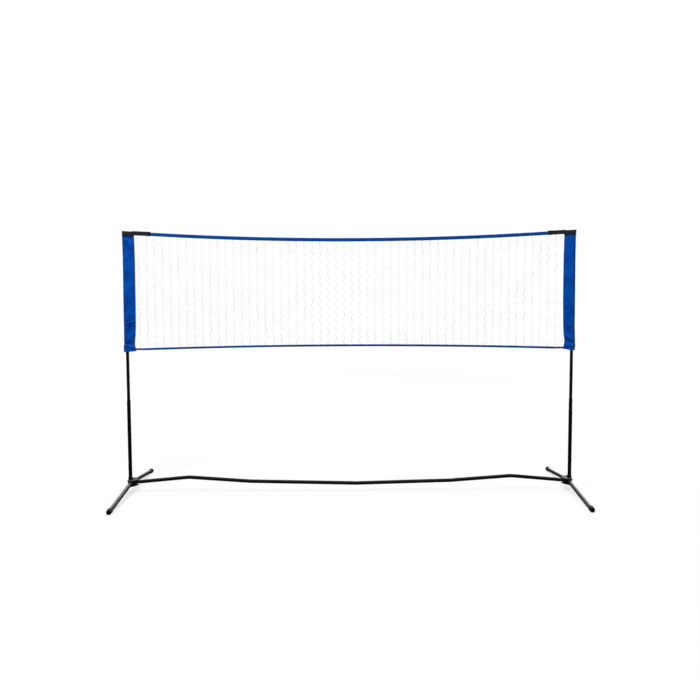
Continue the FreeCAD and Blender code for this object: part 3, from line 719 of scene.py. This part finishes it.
def make_materials():
    """Every finish. Those that rigid pieces take come back by their slots."""
    woven_blue("blue_band_cloth", (0.0008, 0.046, 0.24), (0.0016, 0.074, 0.33))
    # Each twisted finish's two tones are its painted groove shade and its painted crown light
    twisted("navy_braided_cord_painted_shade", (0.0012, 0.014, 0.085), (0.0035, 0.036, 0.190), 0.009, 0.0006)
    twisted("blue_thread", (0.002, 0.045, 0.30), (0.010, 0.12, 0.52), 0.0012, 0.0001)
    twisted("black_thread", (0.010, 0.010, 0.012), (0.05, 0.05, 0.06), 0.0012, 0.0001)
    return {
        "black_paint": black_paint("satin_black_paint", 0.30, (0.17, 0.27)),
        "plate_paint": black_paint("flat_black_paint", 0.10, (0.42, 0.56)),
        "rivet_steel": rivet_steel(),
        "black_plastic": moulded(
            "black_moulded_plastic", (0.0035, 0.0035, 0.0040), (0.0080, 0.0080, 0.0090), 0.40, 1500.0
        ),
        "pale_nylon": moulded("pale_nylon", (0.72, 0.70, 0.64), (0.80, 0.79, 0.75), 0.45, 1500.0),
        "black_rubber": moulded(
            "black_rubber", (0.0020, 0.0020, 0.0021), (0.0055, 0.0055, 0.0055), 0.60, 1100.0,
            Specular_IOR_Level=0.22,
        ),
        "button_steel": button_steel(),
        # The pocket cloth's third tone is its painted edge shade
        "blue_cloth": woven_blue(
            "blue_pocket_cloth", (0.0004, 0.034, 0.230), (0.0010, 0.080, 0.425), (0.0012, 0.014, 0.095)
        ),
        "black_webbing": black_webbing(),
        # The twine's two tones are painted shade between its plies and painted light on their crowns
        "white_twine": twisted(
            "white_twine", (0.60, 0.60, 0.61), (0.86, 0.86, 0.86), 0.0055, 0.0003, Specular_IOR_Level=0.3
        ),
    }


def dress_rigid_pieces(by_slot):
    """Gives each rigid node the finish that its slot names, and the hub plates a flatter one."""
    for part in frame["record"]["subparts"]:
        node = frame["nodes"][part["node"]]
        on_plate = part["node"].startswith("hub_")
        finish = by_slot["plate_paint" if on_plate else part["material_slot"]]
        if not node.material_slots:
            node.data.materials.append(finish)
        for place in node.material_slots:
            place.material = finish


# Twine mesh

def joint_places():
    """Where the strands cross, each a little off its true place."""
    places = np.zeros((strand_count, row_count, 3))
    for column in range(strand_count):
        x = strand_x(column)
        for row in range(row_count):
            places[column, row] = (
                x + twine_wander * wander(column * 0.7, row * 0.9, 1.5),
                twine_wander * wander(column * 0.31, row * 0.23, 7.5),
                row_height(x, row) + twine_wander * wander(column * 0.8, row * 0.6, 4.5),
            )
    return places


def strand(bundle, line, radius):
    """Twine along a line of points."""
    bundle.add(tube(line, radius, twine_sides), along=lengths(line), closed=True)


def joint(bundle, place):
    """A crossing without a knot: two plies braided along the level strand."""
    along = np.linspace(-1.0, 1.0, 9)
    for start in (0.0, math.pi):
        turn = start + 1.5 * math.pi * along
        braid = [joint_half * along, joint_radius * np.cos(turn), joint_radius * np.sin(turn)]
        strand(bundle, place + np.stack(braid, 1), joint_radius)


def hanging_strand(bundle, high, low):
    """A strand between two joints. It leaves the right end of one and meets the left end of
    the next, so it leans, and it is thinner where it turns into them."""
    share = np.array([0.0, 0.015, 0.04, 0.09, 0.2, 0.4, 0.6, 0.8, 0.91, 0.96, 0.985, 1.0])
    aside = np.interp(share, [0.0, 0.015, 0.04, 0.96, 0.985, 1.0], [0.6, 0.9, 1.0, -1.0, -0.9, -0.6])
    thick = np.interp(share, [0.0, 0.04, 0.16, 0.84, 0.96, 1.0], [0.45, 0.75, 1.0, 1.0, 0.75, 0.45])
    line = high + (low - high) * share[:, None]
    line[:, 0] += joint_half * aside
    strand(bundle, line, hanging_radius * thick)


def level_strand(bundle, left, right, sag):
    """A strand between two neighbouring joints, a little slack."""
    share = np.linspace(0, 1, level_steps)[:, None]
    line = left + (right - left) * share
    line[:, 2] -= sag * 4 * share[:, 0] * (1 - share[:, 0])
    strand(bundle, line, level_radius)


def row_end(side, row, height):
    """Where a level strand is sewn into a pocket's inner edge."""
    x = SIDES[side] * (pole_x - pocket_reach_at(height, side) + twine_lead / 2)
    return np.array([x, 0.0, row_height(net_half, row)])


def twine_mesh():
    """The whole mesh: joints, hanging strands and level strands."""
    bundle = Bundle()
    joints = joint_places()
    for column in range(strand_count):
        x = strand_x(column)
        top = np.array([x - joint_half, 0.0, band_low(x) + twine_lead])
        foot = np.array([x + joint_half, 0.0, hem_top(x) - twine_lead])
        chain = [top, *joints[column], foot]
        for high, low in zip(chain, chain[1:]):
            hanging_strand(bundle, high, low)
        for place in joints[column]:
            joint(bundle, place)
    half = np.array([joint_half, 0.0, 0.0])
    for row in range(row_count):
        height = joints[0, row, 2]
        starts = [row_end("left", row, height), *(joints[:, row] + half)]
        ends = [*(joints[:, row] - half), row_end("right", row, height)]
        for column, (left, right) in enumerate(zip(starts, ends)):
            sag = level_sag + level_sag_spread * wander(column * 0.9, row * 1.1, 2.5)
            level_strand(bundle, left, right, sag)
    piece = bundle.piece("net_twine", "white_twine", "white_twine")
    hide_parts("net_mesh")


# Bands

def folded_section(height, rope, fold):
    """A strip folded over a rope: from the front's lower edge, over the top, to the rear's
    lower edge. Points (y, z) and the distance along the strip."""
    middle = height - rope
    turn = np.linspace(0, math.pi, 9)
    over = np.stack([-rope * np.cos(turn), middle + rope * np.sin(turn)], 1)
    front = np.array([(-fold, 0.0), (-fold * 1.15, middle * 0.33), (-(fold + rope) / 2, middle * 0.75)])
    section = np.concatenate([front, over, front[::-1] * (-1, 1)])
    return section, lengths(section)


def pucker(x, height, strength, seed):
    """The uneven gathering of a sewn band along its length."""
    broad = wander(x * 22, height * 60, seed)
    fine = wander(x * 75, height * 90, seed + 3)
    return strength * (broad + 0.6 * fine)


def band_cloth(stations, top_of, height, rope, fold, swell, seed, end_share):
    """A strip of cloth folded over a rope along the net's edge, and its width. swell is how
    uneven it is, and end_share how much of its bulk is left at its ends."""
    section, across = folded_section(height, rope, fold)
    rows = []
    for x in stations:
        base = top_of(x) - height
        bulk = end_share + (1.0 - end_share) * within_one((stations[-1] - abs(x)) / band_flat_run) ** 0.5
        row = []
        for y, z in section:
            side = 1 if y > 0 else -1
            depth = 1.0 - abs(z - height / 2) / height
            push = side * pucker(x, z + 0.01 * side, swell, seed) * depth * bulk
            drop = 0.25 * pucker(x, 0.3 * z, swell, seed + 9)
            row.append((x, y * bulk + push, base + z + drop))
        rows.append(row)
    bundle = Bundle()
    bundle.add(rows, along=stations - stations[0], across=across)
    return bundle, across[-1]


def thicken(piece, wall):
    """Gives a sheet its thickness, half of it to each side."""
    solid = piece.modifiers.new("cloth thickness", "SOLIDIFY")
    solid.thickness = wall
    solid.offset = 0.0
    solid.use_even_offset = True


def edge_band(node, top_of, reach, count, seams, sewn_to, **shape):
    """A blue band folded over a rope along an edge of the net, sewn through front and back."""
    stations = np.linspace(-reach, reach, count)
    bundle, width = band_cloth(stations, top_of, **shape)
    piece = bundle.piece(f"{node}_cloth", "blue_band_cloth", "blue_cloth")
    thicken(piece, cloth_wall)
    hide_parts(node)
    stitches = Bundle()
    for below, depth in seams:
        for face in (-1, 1):
            path = [(x, face * depth, top_of(x) - shape["height"] * below)
                    for x in stations if abs(x) <= sewn_to]
            stitch_row(stitches, path, (0, face, 0))
    sewn = stitches.piece(f"{node}_stitches", "blue_thread", "blue_cloth")


def top_band():
    """The blue band over the head rope, between the two straps."""
    edge_band(
        "top_band", lambda x: band_low(x) + band_height, strap_end + band_overlap, band_stations,
        band_seams, strap_end, height=band_height, rope=band_rope_radius, fold=band_fold,
        swell=band_swell, seed=11.0, end_share=band_flat_share,
    )


def bottom_band():
    """The narrow blue hem round the foot cord."""
    edge_band(
        "bottom_band", hem_top, hem_end, hem_stations, hem_seams, hem_end, height=hem_depth,
        rope=hem_cord_radius, fold=hem_fold, swell=hem_swell, seed=23.0, end_share=hem_mouth_share,
    )


# Pole pockets

def eased(z, side, column):
    """One column of a pocket's shape at a height, with its corners eased."""
    shape = np.array(pocket_shape[side])
    near = z + shape_easing * np.linspace(-1, 1, 5)
    return float(np.mean(np.interp(near, shape[:, 0], shape[:, column])))


def pocket_reach_at(z, side):
    """How far the pocket's inner edge lies from the pole: drawn in at the pinch."""
    return eased(z, side, 2)


def pocket_outline(radius, reach, edge, count):
    """Points round a pocket from its seam, along the front, round the pole and back, with
    their outward directions. x is measured from the pole, away from the net."""
    tilt = math.asin((radius - edge) / reach)
    flat = math.sqrt(reach ** 2 - (radius - edge) ** 2)
    tip_arc = edge * (math.pi / 2 - tilt)
    total = 2 * tip_arc + 2 * flat + radius * (math.pi + 2 * tilt)
    points = []
    for place in np.linspace(0, total, count):
        run = min(place, total - place)
        share = within_one((run - tip_arc) / flat)
        size = edge + (radius - edge) * share
        turn = max(math.pi - run / edge, math.pi / 2 + tilt) - max(run - tip_arc - flat, 0.0) / radius
        away, outward = math.cos(turn), (1 if place > total / 2 else -1) * math.sin(turn)
        points.append((size * away - reach * (1 - share), size * outward, away, outward))
    return np.array(points), total


def distance_to_line(u, z, line):
    """The shortest distance from a place to a line of joined places."""
    nearest = math.inf
    for (u0, z0), (u1, z1) in zip(line, line[1:]):
        run, rise = u1 - u0, z1 - z0
        share = within_one(((u - u0) * run + (z - z0) * rise) / (run * run + rise * rise))
        nearest = min(nearest, math.hypot(u - u0 - share * run, z - z0 - share * rise))
    return nearest


def room_to_pole(u, y, tilt):
    """How far the cloth can go inward at a place before it meets the pole. tilt is the part
    of its outward direction that runs towards the net."""
    nearest = u * tilt + abs(y) * math.sqrt(max(1.0 - tilt * tilt, 0.0))
    missed = u * u + y * y - nearest * nearest
    if nearest <= 0 or missed >= pole_room ** 2:
        return math.inf
    return nearest - math.sqrt(pole_room ** 2 - missed)


def inward_room(u, y, tilt):
    """How far the cloth can go inward before it meets the pole or the pocket's other face."""
    to_face = (abs(y) - face_room) / math.sqrt(max(1.0 - tilt * tilt, 1e-9))
    return max(min(to_face, room_to_pole(u, y, tilt)), least_room)


def crease(side, face, u, z, y, tilt=0.0):
    """How far the pocket's cloth stands out. u runs from the pole towards the net, y is the
    smooth cloth's distance from the net's plane, and tilt the part of its outward direction
    that runs towards the net."""
    left, front = side == "left", face < 0
    push = 0.0
    for line, height, width in pocket_folds["left" if left == front else "right"]:
        away = distance_to_line(u, z, line) / width
        if away < 3:
            push += height * math.exp(-away * away)
    from_waist = z - waist_height[side]
    push -= waist_depth * math.exp(-(from_waist / (waist_above if from_waist > 0 else waist_below)) ** 2)
    seed = (0.0 if left else 40.0) + (0.0 if front else 17.0)
    low_down = math.exp(-max(z - rumple_foot, 0.0) / rumple_fade)
    for height, more, up, across, leaning, own_seed in rumples:
        level = z - leaning * rumple_lean[side] * u
        push += (height + more * low_down) * wander(level * up, u * across, seed + own_seed)
    push *= within_one((pocket_reach_at(z, side) - u) / seam_fade)
    push *= within_one((pocket_high.z - top_margin - z) / top_fade)
    push *= math.exp(-max(-u - back_start, 0.0) / back_fade)
    if push > 0:
        return push
    room = inward_room(u, y, tilt)
    return -room * math.tanh(-push / room)


def pocket_height(side, share, across):
    """Height of a pocket row. The hem slopes up towards the net, and the top is level."""
    low = pocket_low.z + pocket_bottom_rise[side] * across
    return low + (pocket_high.z + pocket_tuck - low) * share


def pocket_row(side, share, raised=0.0, inset=0.0):
    """One row round the pocket, and the distance round it. A raised and inset row is the
    part of the foot hem that is turned in."""
    middle = pocket_height(side, share, 0.5) + raised
    shift = eased(middle, side, 1) - pocket_radius
    reach = pocket_reach_at(middle, side) + shift
    outline, around = pocket_outline(pocket_radius, reach, pocket_edge, pocket_columns)
    row = []
    for x, y, facing_x, facing_y in outline:
        u = -x - shift
        z = pocket_height(side, share, within_one(-x / reach)) + raised
        out = crease(side, y, u, z, y, -facing_x) - inset
        if inset:
            out = max(out, -turned_share * abs(y) - turned_room, -room_to_pole(u, y, -facing_x))
        row.append((SIDES[side] * (pole_x + shift + x + out * facing_x), y + out * facing_y, z))
    return (row if side == "left" else row[::-1]), around


def pocket_grid(side):
    """The pocket's cloth: rows up the pole, with a turned hem at the foot."""
    turned = [(hem_turn, 1.0), (hem_turn / 2, 1.0), *hem_edge]
    rows = [pocket_row(side, 0.0, raised, hem_inset * share) for raised, share in turned]
    rows += [pocket_row(side, share) for share in np.linspace(0, 1, pocket_rows)]
    return np.array([row for row, _ in rows]), float(np.mean([around for _, around in rows]))


def net_pocket(side):
    """A strip of cloth wrapped round the pole and sewn flat along the net's edge."""
    grid, around = pocket_grid(side)
    along = lengths(grid[:, pocket_columns // 2, 2:])
    bundle = Bundle()
    bundle.add(grid, along=along, across=np.linspace(0, around, pocket_columns))
    piece = bundle.piece(f"pocket_cloth_{side}", "blue_pocket_cloth", "blue_cloth")
    thicken(piece, cloth_wall)
    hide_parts(f"net_pocket_{side}")
    sewn = pocket_stitches(side)


def pocket_stitches(side):
    """Two rows beside the inner edge, front and back."""
    stitches = Bundle()
    low = pocket_low.z + pocket_bottom_rise[side] + seam_start
    for inset in pocket_seams:
        for face in (-1, 1):
            path = []
            for z in np.linspace(low, pocket_high.z - seam_stop, 260):
                reach = pocket_reach_at(z, side)
                smooth = pocket_edge + inset * (pocket_radius - pocket_edge) / reach
                y = smooth + crease(side, face, reach - inset, z, smooth) + cloth_wall / 2
                path.append((SIDES[side] * (pole_x - reach + inset), face * y, z))
            stitch_row(stitches, path, (0, face, 0))
    return stitches.piece(f"pocket_stitches_{side}", "blue_thread", "blue_cloth")


# Corner webbing

def sleeve_roof(across):
    """Height of the closed top of the corner sleeve, with its small peak over the pole."""
    top = sleeve_high.z - sleeve_peak
    if across < 0:
        share = max(0.0, (-across * pocket_reach - flat_top_radius) / (sleeve_radius - flat_top_radius))
        return top + sleeve_peak * share ** 2
    return top - sleeve_slope / 2 * across


def corner_sleeve(side):
    """Black webbing folded over the pocket's top and the pole's cap."""
    sign = SIDES[side]
    outline, around = pocket_outline(sleeve_radius, pocket_reach, sleeve_edge, sleeve_columns)
    low = pocket_high.z - sleeve_overlap
    rows = []
    for share, step, pull, _ in sleeve_rows:
        row = []
        for x, y, facing_x, facing_y in outline:
            z = low + (sleeve_roof(-x / pocket_reach) - low) * share + step
            dent = webbing_dent * wander(x * 90, y * 90, z * 70 + sign)
            row.append((sign * (pole_x + x + dent * facing_x), y * pull + dent * facing_y, z))
        rows.append(row if sign < 0 else row[::-1])
    bundle = Bundle()
    bundle.add(rows, along=np.array(sleeve_rows)[:, 3], across=np.linspace(0, around, sleeve_columns))
    strap_grid(bundle, side, strap_end - strap_back, pole_x - pocket_reach + strap_into_sleeve, 1.0, 0.0)
    strap_grid(bundle, side, strap_end - patch_back, strap_end + patch_length, patch_bulk, patch_spare)
    piece = bundle.piece(f"corner_webbing_{side}", "black_webbing_weave", "black_webbing")
    thicken(piece, webbing_wall)
    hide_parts(f"corner_sleeve_{side}")
    corner_stitches(side)


def strap_low(x):
    """Height of the strap's lower edge, from the corner sleeve to its end on the band."""
    end = strap_end - patch_length * 0.05
    share = (abs(x) - end) / (pole_x - pocket_reach - end)
    return band_low(end) - strap_drop + (strap_inner_low - band_low(end)) * share


def strap_grid(bundle, side, start, end, bulk, spare):
    """Webbing doubled round the end of the band: the strap, or the patch sewn over it.
    bulk multiplies its thickness and spare is what it adds above and below."""
    sign = SIDES[side]
    half = strap_thickness / 2
    ring = strap_profile + [(-y, z) for y, z in strap_profile[::-1]]
    stations = np.linspace(start, end, max(6, int((end - start) / 0.002)))
    rows = []
    for x in stations:
        open_band = bulk * (1.0 + strap_opening * math.exp(-(max(x - strap_end, 0.0) / patch_length) ** 2))
        low = strap_low(x) - spare
        row = []
        for y, z in ring:
            ripple = webbing_ripple * wander(x * 60, z * 2, sign * 3.0)
            row.append((sign * x, y * half * open_band + ripple, low + (strap_height + 2 * spare) * z))
        rows.append(row)
    around = lengths(np.array(ring + ring[:1]) * (half, strap_height))
    bundle.add(rows, along=stations - start, across=around, closed=True, capped=True)


def corner_stitches(side):
    """A sewn box with a cross on the strap's end, and a row round the sleeve's mouth."""
    sign = SIDES[side]
    stitches = Bundle()
    depth = strap_thickness / 2 * (1.0 + strap_opening) * patch_bulk + patch_spare
    ends = (strap_end + box_near, strap_end + patch_length - box_far)
    for face in (-1, 1):
        near_low, far_low, far_high, near_high = [
            (sign * x, face * depth, strap_low(x) + strap_height * share)
            for x, share in zip((*ends, *ends[::-1]), (box_low, box_low, box_high, box_high))
        ]
        box = [near_low, far_low, far_high, near_high, near_low]
        for start, end in [*zip(box, box[1:]), (near_low, far_high), (near_high, far_low)]:
            stitch_row(stitches, np.linspace(start, end, 12), (0, face, 0))
        mouth = []
        for x in np.linspace(-pocket_reach + 0.004, sleeve_radius * 0.2, 30):
            y = sleeve_edge + (sleeve_radius - sleeve_edge) * (1 + x / pocket_reach) + mouth_row_depth
            mouth.append((sign * (pole_x + x), face * min(y, sleeve_radius), pocket_high.z + mouth_row_lift))
        stitch_row(stitches, mouth, (0, face, 0))
    stitches.piece(f"corner_stitches_{side}", "black_thread", "black_webbing")


# Foot cords

def foot_cord(side):
    """The bare end of the foot cord, bound with yarn, from the hem's mouth to the pocket's inner corner. Its
    navy, darker than the band's blue, is painted shade on the hem's end."""
    sign = SIDES[side]
    low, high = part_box(f"bottom_cord_{side}")
    middle = (low.z + high.z) / 2
    mouth = hem_top(hem_end) - hem_cord_radius
    start = hem_end - foot_cord_inside
    end = pole_x - pocket_reach_at(middle, side) + foot_cord_entry
    run = np.linspace(0, end - start, foot_cord_steps)
    bound = np.clip((run - foot_cord_inside) / foot_cord_binding, 0, 1)
    bound = bound ** 2 * (3 - 2 * bound)
    free = np.clip((end - start - run) / foot_cord_squeeze, 0, 1)
    line = np.stack([sign * (start + run), np.zeros_like(run), mouth + (middle - mouth) * bound], 1)
    deep = (foot_cord_core + (foot_cord_deep - foot_cord_core) * bound) * (0.35 + 0.65 * free)
    tall = (foot_cord_core + (foot_cord_high - foot_cord_core) * bound) * (0.85 + 0.15 * free)
    turn = np.arange(foot_cord_sides) * 2 * math.pi / foot_cord_sides * sign
    rings = np.repeat(line[:, None], foot_cord_sides, 1)
    rings[:, :, 1] += np.outer(deep, np.cos(turn))
    rings[:, :, 2] += np.outer(tall, np.sin(turn))
    bundle = Bundle()
    bundle.add(rings, along=run, closed=True, capped=True)
    # Painted shade: the cord's navy is darker than the band's blue where the hem's end is shaded
    piece = bundle.piece(f"foot_cord_{side}", "navy_braided_cord_painted_shade", "black_webbing")
    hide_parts(f"bottom_cord_{side}")


# Studio

def ray_kinds(graph):
    """Two masks: rays that look at the studio straight, and rays that see it in a gloss."""
    path = graph.add("LightPath").outputs
    straight = graph.math("MAXIMUM", path["Is Camera Ray"], path["Is Transmission Ray"])
    return straight, path["Is Glossy Ray"]


def studio_world():
    """A white backdrop to look at, and a soft grey room to light by."""
    world = bpy.data.worlds.new("studio")
    bpy.context.scene.world = world
    world.use_nodes = True
    world.node_tree.nodes.clear()
    g = Graph(world.node_tree)
    x, y, z = g.parts(g.add("TexCoord").outputs["Generated"])
    sideways = g.span(g.math("ABSOLUTE", x), 0.35, 0.9, 1.0, room_sides)
    light = g.times(g.span(z, -0.1, 0.9, room_low, room_high), sideways)
    seen, gloss = ray_kinds(g)
    behind = g.span(y, 0.1, 0.75, gloss_front, gloss_behind)
    above = g.span(z, 0.25, 0.8, 0.0, gloss_above)
    glossy_level = g.times(gloss, g.math("MAXIMUM", behind, above))
    level = g.math("MAXIMUM", g.times(seen, white_level), glossy_level)
    room, backdrop = (
        g.make("Background", 0, {"Color": (1.0, 1.0, 1.0), "Strength": glow}) for glow in (light, level)
    )
    shown = g.make("MixShader", 0, {"Fac": g.math("MAXIMUM", seen, gloss), 1: room, 2: backdrop})
    g.join(shown, g.add("OutputWorld").inputs["Surface"])


def studio_sheet(name, corners, material):
    """A flat sheet of the studio, which isn't part of the object."""
    mesh = bpy.data.meshes.new(name)
    mesh.from_pydata(corners, [], [(0, 1, 2, 3)])
    mesh.materials.append(material)
    sheet = put_in_scene(name, mesh)
    return sheet


def studio_floor():
    """A plain pale floor. Its own glow makes up for the lamps' falling off, so that it reads as
    even white and still keeps the object's shadow."""
    material, g, shader = new_material(
        "pale_floor", Roughness=0.9, Specular_IOR_Level=0.0, Emission_Strength=1.0
    )
    seen, gloss = ray_kinds(g)
    dark = (0.0, 0.0, 0.0)
    g.join(g.blend(gloss, (floor_tone,) * 3, dark), shader["Base Color"])
    glow = white_level - lamp_rest * floor_tone
    for x, y, strength, spread in lamp_pools:
        away = g.make("VectorMath", "Value", {0: g.place()}, operation="DISTANCE")
        away.node.inputs[1].default_value = (x, y, 0.0)
        squared = g.math("POWER", g.math("DIVIDE", away, spread), 2.0)
        falling = g.math("POWER", g.math("ADD", squared, 1.0), -2.5)
        glow = g.math("SUBTRACT", glow, g.times(falling, strength * floor_tone))
    far = g.span(g.parts(g.place())[1], 1.0, 8.0, gloss_floor, gloss_floor_far)
    level = g.math("MAXIMUM", g.times(seen, glow), g.times(gloss, far))
    g.join(g.blend(level, dark, (1.0, 1.0, 1.0)), shader["Emission Color"])
    around = ((-1, -1), (1, -1), (1, 1), (-1, 1))
    corners = [(x * floor_reach, y * floor_reach, floor_height) for x, y in around]
    studio_sheet("floor", corners, material)


def gloss_card(name, near, far, low, high, glow):
    """An upright white card that only shiny faces mirror, so the legs' outer sides catch light."""
    material = new_material(
        name, Roughness=1.0, Specular_IOR_Level=0.0, Base_Color=(0.0, 0.0, 0.0, 1.0),
        Emission_Color=(1.0, 1.0, 1.0, 1.0), Emission_Strength=glow,
    )[0]
    card = studio_sheet(name, [(*near, low), (*far, low), (*far, high), (*near, high)], material)
    card.visible_camera = card.visible_diffuse = card.visible_shadow = card.visible_transmission = False


def lamp(name, place, facing_height, size, power):
    """A soft square lamp that faces a point over the middle of the floor."""
    light = bpy.data.lights.new(name, "AREA")
    light.size = size
    light.energy = power
    holder = put_in_scene(name, light)
    holder.location = place
    ahead = Vector((0.0, 0.0, facing_height)) - Vector(place)
    holder.rotation_euler = ahead.to_track_quat("-Z", "Y").to_euler()
    holder.visible_glossy = False


def studio_camera():
    """The photograph's viewpoint."""
    camera = bpy.data.cameras.new("camera")
    camera.sensor_width = sensor_width
    camera.lens = sensor_width * focal_pixels / photo_pixels
    camera.clip_end = 100.0
    facing = Matrix.Translation(camera_place)
    for angle, axis in ((-camera_yaw, "Z"), (90.0 - camera_drop, "X"), (camera_roll, "Z")):
        facing @= Matrix.Rotation(math.radians(angle), 4, axis)
    holder = put_in_scene("camera", camera)
    holder.matrix_world = facing
    bpy.context.scene.camera = holder


def studio():
    """The camera, the room, the floor, the cards and the lamps."""
    studio_camera()
    studio_world()
    studio_floor()
    for row in gloss_cards:
        gloss_card(*row)
    for row in lamps:
        lamp(*row)
    bpy.context.scene.view_settings.view_transform = "Standard"


def main():
    """Builds the studio, the finishes and the net."""
    studio()
    make_groups()
    dress_rigid_pieces(make_materials())
    twine_mesh()
    top_band()
    bottom_band()
    for side in SIDES:
        net_pocket(side)
        corner_sleeve(side)
        foot_cord(side)


main()
